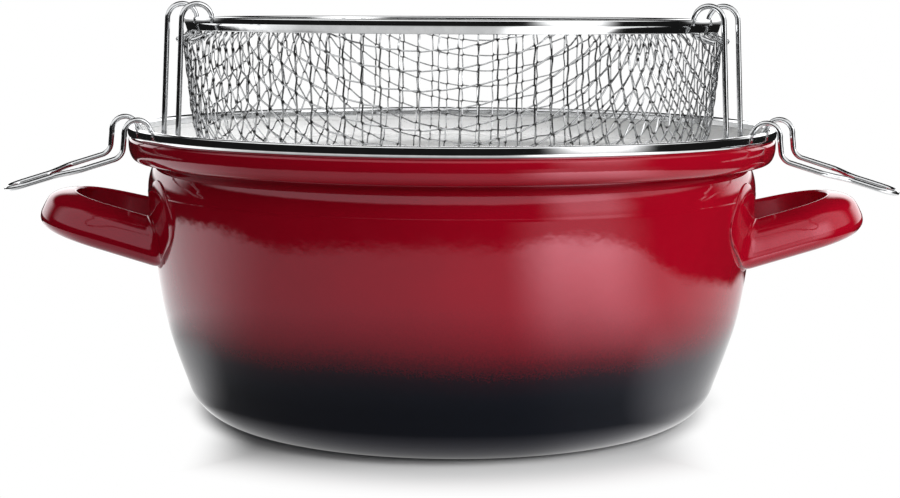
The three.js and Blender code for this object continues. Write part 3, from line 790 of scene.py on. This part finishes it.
def next_knots(knots, total):
    """The knots whose two counts add up to the total, each closing a mesh whose other three are known."""
    keys, a, b, corner = [], [], [], []
    for i in range(1, total):
        j = total - i
        if (i - 1, j) in knots and (i, j - 1) in knots and (i - 1, j - 1) in knots:
            p, q = knots[i - 1, j], knots[i, j - 1]
            if min(p[2], q[2]) <= NET_TOP + NET_PITCH:
                keys.append((i, j))
                a.append(p)
                b.append(q)
                corner.append(knots[i - 1, j - 1])
    if not keys:
        return {}
    a, b = np.array(a), np.array(b)
    new = a + b - np.array(corner)
    for _ in range(DRAPE_ROUNDS):
        new = pulled(new)[0]
        for near in (a, b):
            side = new - near
            length = np.linalg.norm(side, axis=1)[:, None]
            new = new - side / length * (length - NET_PITCH) / 2
    return dict(zip(keys, pulled(new)[0]))


def drape():
    """A square net laid over the surface, every mesh side one pitch long, as its knots by two counts."""
    rows = int(NET_RUN[-1] / NET_PITCH) + 1
    run = np.arange(rows) * NET_PITCH
    axis = np.stack([np.interp(run, NET_RUN, NET_LINE[:, k]) for k in (0, 1)], 1)
    knots = {}
    for i, (radius, z) in enumerate(axis):
        knots[i, 0] = np.array([radius, 0, z])
        knots[0, i] = np.array([0, radius, z])
    for total in range(2, rows * 2):
        knots.update(next_knots(knots, total))
    whole = {}
    for (i, j), at in knots.items():
        for x_side in ((1, -1) if i else (1,)):
            for y_side in ((1, -1) if j else (1,)):
                whole[x_side * i, y_side * j] = swung(at * np.array([x_side, y_side, 1]), NET_TURN - 90)
    return whole, rows


def net_wires(knots, rows):
    """Each wire of the net as the keys of its knots, with 1 or -1 for which of the two ways it runs."""
    for hand in (1, -1):
        for fixed in range(-rows, rows + 1):
            keys = [(k, fixed) if hand == 1 else (fixed, k) for k in range(-rows, rows + 1)]
            keys = [key for key in keys if key in knots]
            if len(keys) < 3:
                continue
            steps = np.diff([knots[key] for key in keys], axis=0)
            if np.linalg.norm(steps, axis=1).max() <= NET_PITCH * 1.5:
                yield keys, hand


def woven(keys, knots, hand):
    """A wire's centre line, over and under the others, with the normals and the share from knot to knot."""
    spans = len(keys) - 1
    at, normal = pulled(catmull([knots[key] for key in keys], WEAVE_STEPS))
    across = np.cross(normal, unit(np.gradient(at, axis=0)))
    phase = np.append(np.tile(WEAVE_STEPS, spans), 0.0)
    index = np.append(np.repeat(np.arange(spans), len(WEAVE_STEPS)), spans)
    order = np.array([sum(key) for key in keys])[index]
    over = hand * np.where(order % 2 == 0, 1.0, -1.0)
    wave = np.cos(np.pi * phase)
    free = np.clip((BASKET_BAND_BOTTOM - at[:, 2]) / WEAVE_FADE, 0, 1)
    wave = over * np.sign(wave) * np.abs(wave) ** WEAVE_POWER * WEAVE_REACH * free
    jog = hand * JOG * (1 - 2 * phase) * np.clip(np.minimum(phase, 1 - phase) / JOG_EASE, 0, 1)
    return at + normal * wave[:, None] + across * jog[:, None], normal, phase


def clear_of(at, normal, stub):
    """The centre line moved along the surface, out of the way of a wire handle's stub."""
    distance = np.linalg.norm(at[:, None] - stub[None], axis=2)
    push = at - stub[distance.argmin(1)]
    push -= normal * (push * normal).sum(1)[:, None]
    size = np.linalg.norm(push, axis=1)[:, None]
    need = np.clip(WIRE_RADIUS + NET_WIRE + STUB_GAP - distance.min(1), 0, None)[:, None]
    return at + push / np.maximum(size, 0.05) * need


def net_rings(at, normal):
    """Rings round a net wire, turned with the surface."""
    forward = unit(np.gradient(at, axis=0))
    over = unit(normal - forward * (normal * forward).sum(1)[:, None])
    beside = np.cross(forward, over)
    angles = np.linspace(0, 2 * np.pi, NET_WIRE_SIDES, endpoint=False)[None, :, None]
    return at[:, None] + NET_WIRE * (np.cos(angles) * over[:, None] + np.sin(angles) * beside[:, None])


def runs(keep):
    """Slices of the unbroken runs of four or more points that are kept."""
    edges = np.flatnonzero(np.diff(np.concatenate([[False], keep, [False]]).astype(int)))
    return [slice(first, last) for first, last in zip(edges[::2], edges[1::2]) if last - first >= 4]


def build_net(stubs):
    knots, rows = drape()
    all_points, all_faces, all_marks, count = [], [], [], 0
    for keys, hand in net_wires(knots, rows):
        at, normal, phase = woven(keys, knots, hand)
        for stub in stubs:
            at = clear_of(at, normal, stub)
        # Grime and painted shade, strongest at each crossing
        marks = np.clip(GRIME_AND_SHADE_LEVEL - np.minimum(phase, 1 - phase) / GRIME_AND_SHADE_WIDTH, 0, 1)
        for part in runs(at[:, 2] < NET_TOP):
            points, faces = lofted(net_rings(at[part], normal[part]))
            all_points.append(points)
            all_marks.append(np.repeat(marks[part], NET_WIRE_SIDES))
            all_faces.extend([[v + count for v in face] for face in faces])
            count += len(points)
    points = np.concatenate(all_points)
    piece = add_piece("basket_mesh", points, all_faces, "basket", [MESH], ["basket_net"])
    crossing = piece.data.attributes.new("crossing", "FLOAT", "POINT")
    crossing.data.foreach_set("value", np.concatenate(all_marks).astype(np.float32))


# Wire handles

def fillet(start, leaving, end, arriving, radius, steps):
    """The arc that rounds the corner between a line from the start and a line to the end."""
    across = leaving[0] * arriving[1] - leaving[1] * arriving[0]
    gap = end - start
    reach = (gap[0] * arriving[1] - gap[1] * arriving[0]) / across
    corner = start + leaving * reach
    turn = math.acos(np.clip(leaving.dot(arriving), -1, 1))
    side = math.copysign(1, across)
    first = corner - leaving * radius * math.tan(turn / 2)
    centre = first + np.array([-leaving[1], leaving[0]]) * radius * side
    begin = math.degrees(math.atan2(first[1] - centre[1], first[0] - centre[0]))
    return arc(centre[0], centre[1], radius, begin, begin + side * math.degrees(turn), steps)


def dense(points, spacing):
    """The same line with straight runs cut into steps of about the spacing, and shorter steps kept."""
    out = [points[0]]
    for a, b in zip(points[:-1], points[1:]):
        steps = max(1, int(np.linalg.norm(b - a) / spacing))
        for k in range(1, steps + 1):
            out.append(a + (b - a) * k / steps)
    return np.array(out)


def wire_side():
    """A wire handle seen from its side, as x and height: the stub of its end, and the line on to the grip."""
    eye_axis = math.sqrt(BASKET_CENTRE ** 2 - (WIRE_SPACING / 2) ** 2)
    inner = eye_axis - BASKET_HALF - CLEARANCE - WIRE_RADIUS - CLEARANCE
    leg_top = np.array([inner + EYE_RADIUS * 2, EYE_TOP - EYE_RADIUS])
    stub_level = BASKET_BAND_BOTTOM - CLEARANCE - WIRE_RADIUS
    stub_end = (leg_top[0] - WIRE_RADIUS * 2 - STUB_SHORT, stub_level - STUB_DROP)
    stub = arc(inner + EYE_BEND, stub_level + EYE_BEND, EYE_BEND, STUB_TURN - 180, -180, 10)
    eye = arc(inner + EYE_RADIUS, EYE_TOP - EYE_RADIUS, EYE_RADIUS, 180, 0, 30)
    leg_way = unit(np.array([leg_top[0] + LEG_LEAN, LEG_FOOT]) - leg_top)
    hump = arc(HUMP_X, HUMP_TOP - HUMP_RADIUS, HUMP_RADIUS, 180 - HUMP_INNER_SLOPE, -HUMP_OUTER_SLOPE, 28)
    bend = fillet(leg_top, leg_way, hump[0], heading(90 - HUMP_INNER_SLOPE), LEG_BEND, 14)
    leg_out = heading(HUMP_OUTER_SLOPE - 90)
    grip_way = heading(-GRIP_SLOPE)
    grip = fillet(hump[-1], leg_out, hump[-1] + leg_out * OUTER_LEG + grip_way, grip_way, GRIP_BEND, 14)
    return np.concatenate([[stub_end], stub]), np.concatenate([eye, bend, hump, grip])


def wire_line():
    """The whole centre line of a wire handle about its middle plane, and one of its two stubs."""
    stub, rest = wire_side()
    side = np.concatenate([stub, rest])
    near = np.stack([side[:, 0], np.full(len(side), WIRE_SPACING / 2), side[:, 1]], 1)

    def level(x):
        return side[-1, 1] - (x - side[-1, 0]) * math.tan(math.radians(GRIP_SLOPE))

    share = np.linspace(0, 1, 26)
    ease = share * share * (3 - 2 * share)
    x = WAIST_START + WAIST_LENGTH * share
    waist = np.stack([x, WIRE_SPACING / 2 + (GRIP_HALF - WIRE_SPACING / 2) * ease, level(x)], 1)
    tip = arc(GRIP_END - GRIP_HALF, 0, GRIP_HALF, 90, 0, 16)
    round_tip = np.stack([tip[:, 0], tip[:, 1], level(tip[:, 0])], 1)
    half = dense(np.concatenate([near, waist, round_tip]), WIRE_STEP)
    other = half[:-1][::-1] * np.array([1, -1, 1])
    return np.concatenate([half, other]), near[:len(stub)]


def build_wire_handles():
    """Both wire handles. Returns their stubs, which the net makes room for."""
    line, stub = wire_line()
    points, faces = tube(line, WIRE_RADIUS, WIRE_SIDES)
    stubs = []
    for name, degrees in (("left", 180 + GRIP_TURN), ("right", -GRIP_TURN)):
        add_piece(
            f"wire_handle_{name}_wire", swung(points, degrees), faces, f"wire_handle_{name}",
            [WIRE], [f"basket_handle_{name}"],
        )
        for side in (1, -1):
            stubs.append(swung(dense(stub * np.array([1, side, 1]), STUB_STEP), degrees))
    return stubs


def dress_core_wire():
    """The basket rim's core wire is the CAD's own, in the drawn wire's material."""
    core_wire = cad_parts["basket_rim_wire"]
    core_wire.data.materials.clear()
    core_wire.data.materials.append(WIRE)


build_pot()
build_pot_band()
build_side_handles()
build_basket_rim()
build_net(build_wire_handles())
dress_core_wire()


# Floor, light and camera. Turns are radians about Z from the front, positive to the right.
# Four numbers are a range and the values at its two ends, and two are a range from 0 to 1

FLOOR_X = (-0.85, 0.60)
FLOOR_Y = (-0.60, 1.3)
PAPER = (0.72, 0.72, 0.72, 1)

# The lit table that the enamel reflects, by the turn, and by the reach from the axis
BEAM = ((0.25, 0.58), (0.80, 1.25))
BACK = (2.5, 3.14)
EDGE = (0.355, 0.395, 1.0, 0.0)
EDGE_RAGGED = 0.05
EDGE_RAGGED_LEFT = (-0.9, -1.4, 0.3, 1.0)
EDGE_RAGGED_BACK = (-2.5, -3.0, 1.0, 0.3)
EDGE_SHIFT_LEFT = (-1.0, -2.1, 0.0, -0.165)
EDGE_SHIFT_RIGHT = (1.0, 1.5, 0.0, 0.06)
EDGE_SHIFT_FAR_RIGHT = (2.0, 2.4, 0.0, -0.07)
EDGE_SHIFT_BACK = -0.09
EDGE_SHIFT_BEAM = -0.03
GLOW_FRONT = 0.66
GLOW_LEFT = (-0.95, -1.65, 0.0, 0.78)
GLOW_RIGHT = (0.5, 1.2, 0.0, 0.38)
GLOW_BACK = 1.24
GLOW_BEAM = (0.16, 0.38, 0.35, 3.4)
NEAR_SHADE = (0.125, 0.24, 0.18, 1.0)
NEAR_FOOT = (0.120, 0.098, 0.0, 1.0)
NEAR_LEFT = (-0.9, -1.5, 0.0, 0.6)
NEAR_RIGHT = (0.6, 1.2, 0.0, 0.95)
NEAR_BACK = 0.78
PAST_EDGE = 0.01
PAST_EDGE_BEAM = 0.9

# The white that the camera sees begins at this reach, and nearer beside the pot
WHITE_REACH = (0.108, 0.150)
WHITE_SIDE = (0.072, 0.098)
WHITE_SIDE_REACH = (0.092, 0.108)
WHITE_SIDE_WIDER = (-0.05, 0.02, 0.0, 0.019)
TABLE_REACH = (0.082, 0.102)

# The room that the enamel and the steel reflect, by the turn, and by how high the ray points
BEHIND_TURN = (1.95, 2.35)
BEHIND_HEIGHT = ((-0.02, 0.03), (0.28, 0.45))
BEHIND_LIGHT = 1.9
RIGHT_TURN = ((0.50, 0.80), (0.98, 1.30))
RIGHT_LIGHT = (-0.15, 0.05, 0.9, 2.1)
RIGHT_TOP = (0.40, 0.60, 1.0, 0.0)
CEILING_HEIGHT = ((0.25, 0.31), (0.88, 0.97))
CEILING_TURN = (1.6, 2.0, 1.0, 0.0)
CEILING_LIGHT = 1.1
DARK_LIGHT = 0.010
DIFFUSE_LIGHT = 0.16

# Name, place, aim, width, height and radiance
LAMPS = (
    ("key_right", (0.95, -0.50, 0.50), (0, 0, 0.08), 0.8, 0.8, 7.0),
    ("fill_front", (0.10, -1.30, 0.50), (0, 0, 0.08), 1.0, 0.7, 1.1),
    ("above", (0.0, -0.30, 1.15), (0, 0, 0.10), 1.2, 1.0, 2.0),
)

CAMERA_PLACE = (0, -0.7839, 0.1653)
CAMERA_DOWN = 7.197
CAMERA_ROLL = 0.287
CAMERA_SENSOR = 36.0
CAMERA_LENS = 77.228
CAMERA_SHIFT = -0.00178


def table_share(tree, turn, reach, back, beam):
    """1 on the reflected table, 0 past its ragged edge."""
    ragged = chain(
        tree, "MULTIPLY", wander(tree, noise(tree, 35, 3.0, 0.6), EDGE_RAGGED),
        mapped(tree, turn, *EDGE_RAGGED_LEFT), mapped(tree, turn, *EDGE_RAGGED_BACK),
    )
    shift = chain(
        tree, "ADD", mapped(tree, turn, *EDGE_SHIFT_RIGHT), mapped(tree, turn, *EDGE_SHIFT_FAR_RIGHT),
        mapped(tree, turn, *EDGE_SHIFT_LEFT, smooth=False),
    )
    shift = maths(tree, "MULTIPLY_ADD", beam, EDGE_SHIFT_BEAM, towards(tree, back, shift, EDGE_SHIFT_BACK))
    return mapped(tree, chain(tree, "ADD", reach, ragged, shift), *EDGE)


def table_glow(tree, turn, reach):
    """How bright the floor is in a reflection."""
    beam = between(tree, turn, *BEAM)
    back = mapped(tree, maths(tree, "ABSOLUTE", turn), *BACK)
    table = table_share(tree, turn, reach, back, beam)
    glow = chain(tree, "ADD", mapped(tree, turn, *GLOW_LEFT), mapped(tree, turn, *GLOW_RIGHT), GLOW_FRONT)
    # A painted pool of light on the reflected table, in the beam to the right front
    in_beam = mapped(tree, reach, *GLOW_BEAM, smooth=False)
    glow = maths(tree, "MULTIPLY_ADD", beam, in_beam, towards(tree, back, glow, GLOW_BACK))
    sides = maths(tree, "ADD", mapped(tree, turn, *NEAR_RIGHT), mapped(tree, turn, *NEAR_LEFT))
    # Painted shadow of the pot on the reflected table: darkest in front just beyond its foot, lighter to the
    # sides and back
    near = chain(
        tree, "MAXIMUM", mapped(tree, reach, *NEAR_SHADE, smooth=False),
        towards(tree, back, sides, NEAR_BACK), mapped(tree, reach, *NEAR_FOOT),
    )
    past = maths(tree, "MULTIPLY_ADD", beam, PAST_EDGE_BEAM, PAST_EDGE)
    past = maths(tree, "MULTIPLY", past, maths(tree, "SUBTRACT", 1.0, table))
    return maths(tree, "ADD", chain(tree, "MULTIPLY", glow, near, table), past)


def floor_white():
    """White to the camera and a lit table to reflections, but grey paper close round the foot and to
    all other rays."""
    made = bpy.data.materials.new("floor_white")
    made.use_nodes = True
    tree = made.node_tree
    tree.nodes.clear()
    x, y, _ = coordinates(tree)
    reach = axis_distance(tree, x, y)
    rays = node(tree, "ShaderNodeLightPath").outputs
    camera, glossy = rays["Is Camera Ray"], rays["Is Glossy Ray"]
    glow = table_glow(tree, front_turn(tree, x, y), reach)
    level = maths(tree, "ADD", maths(tree, "MULTIPLY", glow, glossy), camera)
    aside = maths(tree, "SUBTRACT", maths(tree, "ABSOLUTE", x), mapped(tree, y, *WHITE_SIDE_WIDER))
    beside = maths(tree, "MULTIPLY", mapped(tree, aside, *WHITE_SIDE), mapped(tree, reach, *WHITE_SIDE_REACH))
    seen = maths(tree, "MULTIPLY", maths(tree, "MAXIMUM", mapped(tree, reach, *WHITE_REACH), beside), camera)
    shown = maths(tree, "MULTIPLY", mapped(tree, reach, *TABLE_REACH), glossy)
    share = maths(tree, "ADD", seen, shown)
    paper = node(tree, "ShaderNodeBsdfDiffuse", {"Color": PAPER})
    white = node(tree, "ShaderNodeEmission", {"Color": (1, 1, 1, 1), "Strength": level})
    blend = node(tree, "ShaderNodeMixShader", {0: share, 1: paper.outputs[0], 2: white.outputs[0]})
    node(tree, "ShaderNodeOutputMaterial", {"Surface": blend.outputs[0]})
    return made


def build_floor():
    mesh = bpy.data.meshes.new("floor")
    (left, right), (front, rear) = FLOOR_X, FLOOR_Y
    corners = [(left, front, 0.0), (right, front, 0.0), (right, rear, 0.0), (left, rear, 0.0)]
    mesh.from_pydata(corners, [], [(0, 1, 2, 3)])
    mesh.materials.append(floor_white())
    floor = bpy.data.objects.new("floor", mesh)
    bpy.context.scene.collection.objects.link(floor)


def room_light(tree):
    """How bright the room is in a reflection: a wall behind, a window to the right and a ceiling."""
    x, y, height = coordinates(tree, "Generated")
    turn = front_turn(tree, x, y)
    side = maths(tree, "ABSOLUTE", turn)
    behind = chain(
        tree, "MULTIPLY", mapped(tree, side, *BEHIND_TURN), between(tree, height, *BEHIND_HEIGHT),
        BEHIND_LIGHT,
    )
    right = chain(
        tree, "MULTIPLY", between(tree, turn, *RIGHT_TURN), mapped(tree, height, *RIGHT_LIGHT),
        mapped(tree, height, *RIGHT_TOP),
    )
    ceiling = chain(
        tree, "MULTIPLY", between(tree, height, *CEILING_HEIGHT), mapped(tree, side, *CEILING_TURN),
        CEILING_LIGHT,
    )
    return chain(tree, "ADD", behind, ceiling, right, DARK_LIGHT)


def build_world():
    """White to the camera, the room to reflections, and an even dim light to the rest."""
    world = bpy.data.worlds.new("studio")
    bpy.context.scene.world = world
    world.use_nodes = True
    tree = world.node_tree
    tree.nodes.clear()
    rays = node(tree, "ShaderNodeLightPath").outputs
    camera, glossy = rays["Is Camera Ray"], rays["Is Glossy Ray"]
    rest = maths(tree, "SUBTRACT", 1.0, maths(tree, "ADD", camera, glossy))
    room = maths(tree, "MULTIPLY", room_light(tree), glossy)
    level = chain(tree, "ADD", camera, room, maths(tree, "MULTIPLY", rest, DIFFUSE_LIGHT))
    back = node(tree, "ShaderNodeBackground", {"Color": (1, 1, 1, 1), "Strength": level})
    node(tree, "ShaderNodeOutputWorld", {"Surface": back.outputs[0]})


def add_lamp(name, place, aim, width, height, radiance):
    data = bpy.data.lights.new(name, "AREA")
    data.shape = "RECTANGLE"
    data.size, data.size_y = width, height
    data.energy = radiance * math.pi * width * height
    lamp = bpy.data.objects.new(name, data)
    lamp.visible_glossy = False
    bpy.context.scene.collection.objects.link(lamp)
    away = Vector(aim) - Vector(place)
    lamp.matrix_world = Matrix.Translation(place) @ away.to_track_quat("-Z", "Y").to_matrix().to_4x4()


def build_camera():
    data = bpy.data.cameras.new("camera")
    data.sensor_width = CAMERA_SENSOR
    data.lens = CAMERA_LENS
    data.shift_x = CAMERA_SHIFT
    data.clip_start, data.clip_end = 0.01, 50
    camera = bpy.data.objects.new("camera", data)
    bpy.context.scene.collection.objects.link(camera)
    camera.matrix_world = (
        Matrix.Translation(CAMERA_PLACE)
        @ Matrix.Rotation(math.radians(90 - CAMERA_DOWN), 4, "X")
        @ Matrix.Rotation(math.radians(CAMERA_ROLL), 4, "Z")
    )
    bpy.context.scene.camera = camera


build_floor()
build_world()
for lamp_values in LAMPS:
    add_lamp(*lamp_values)
build_camera()
bpy.context.scene.view_settings.view_transform = "Standard"
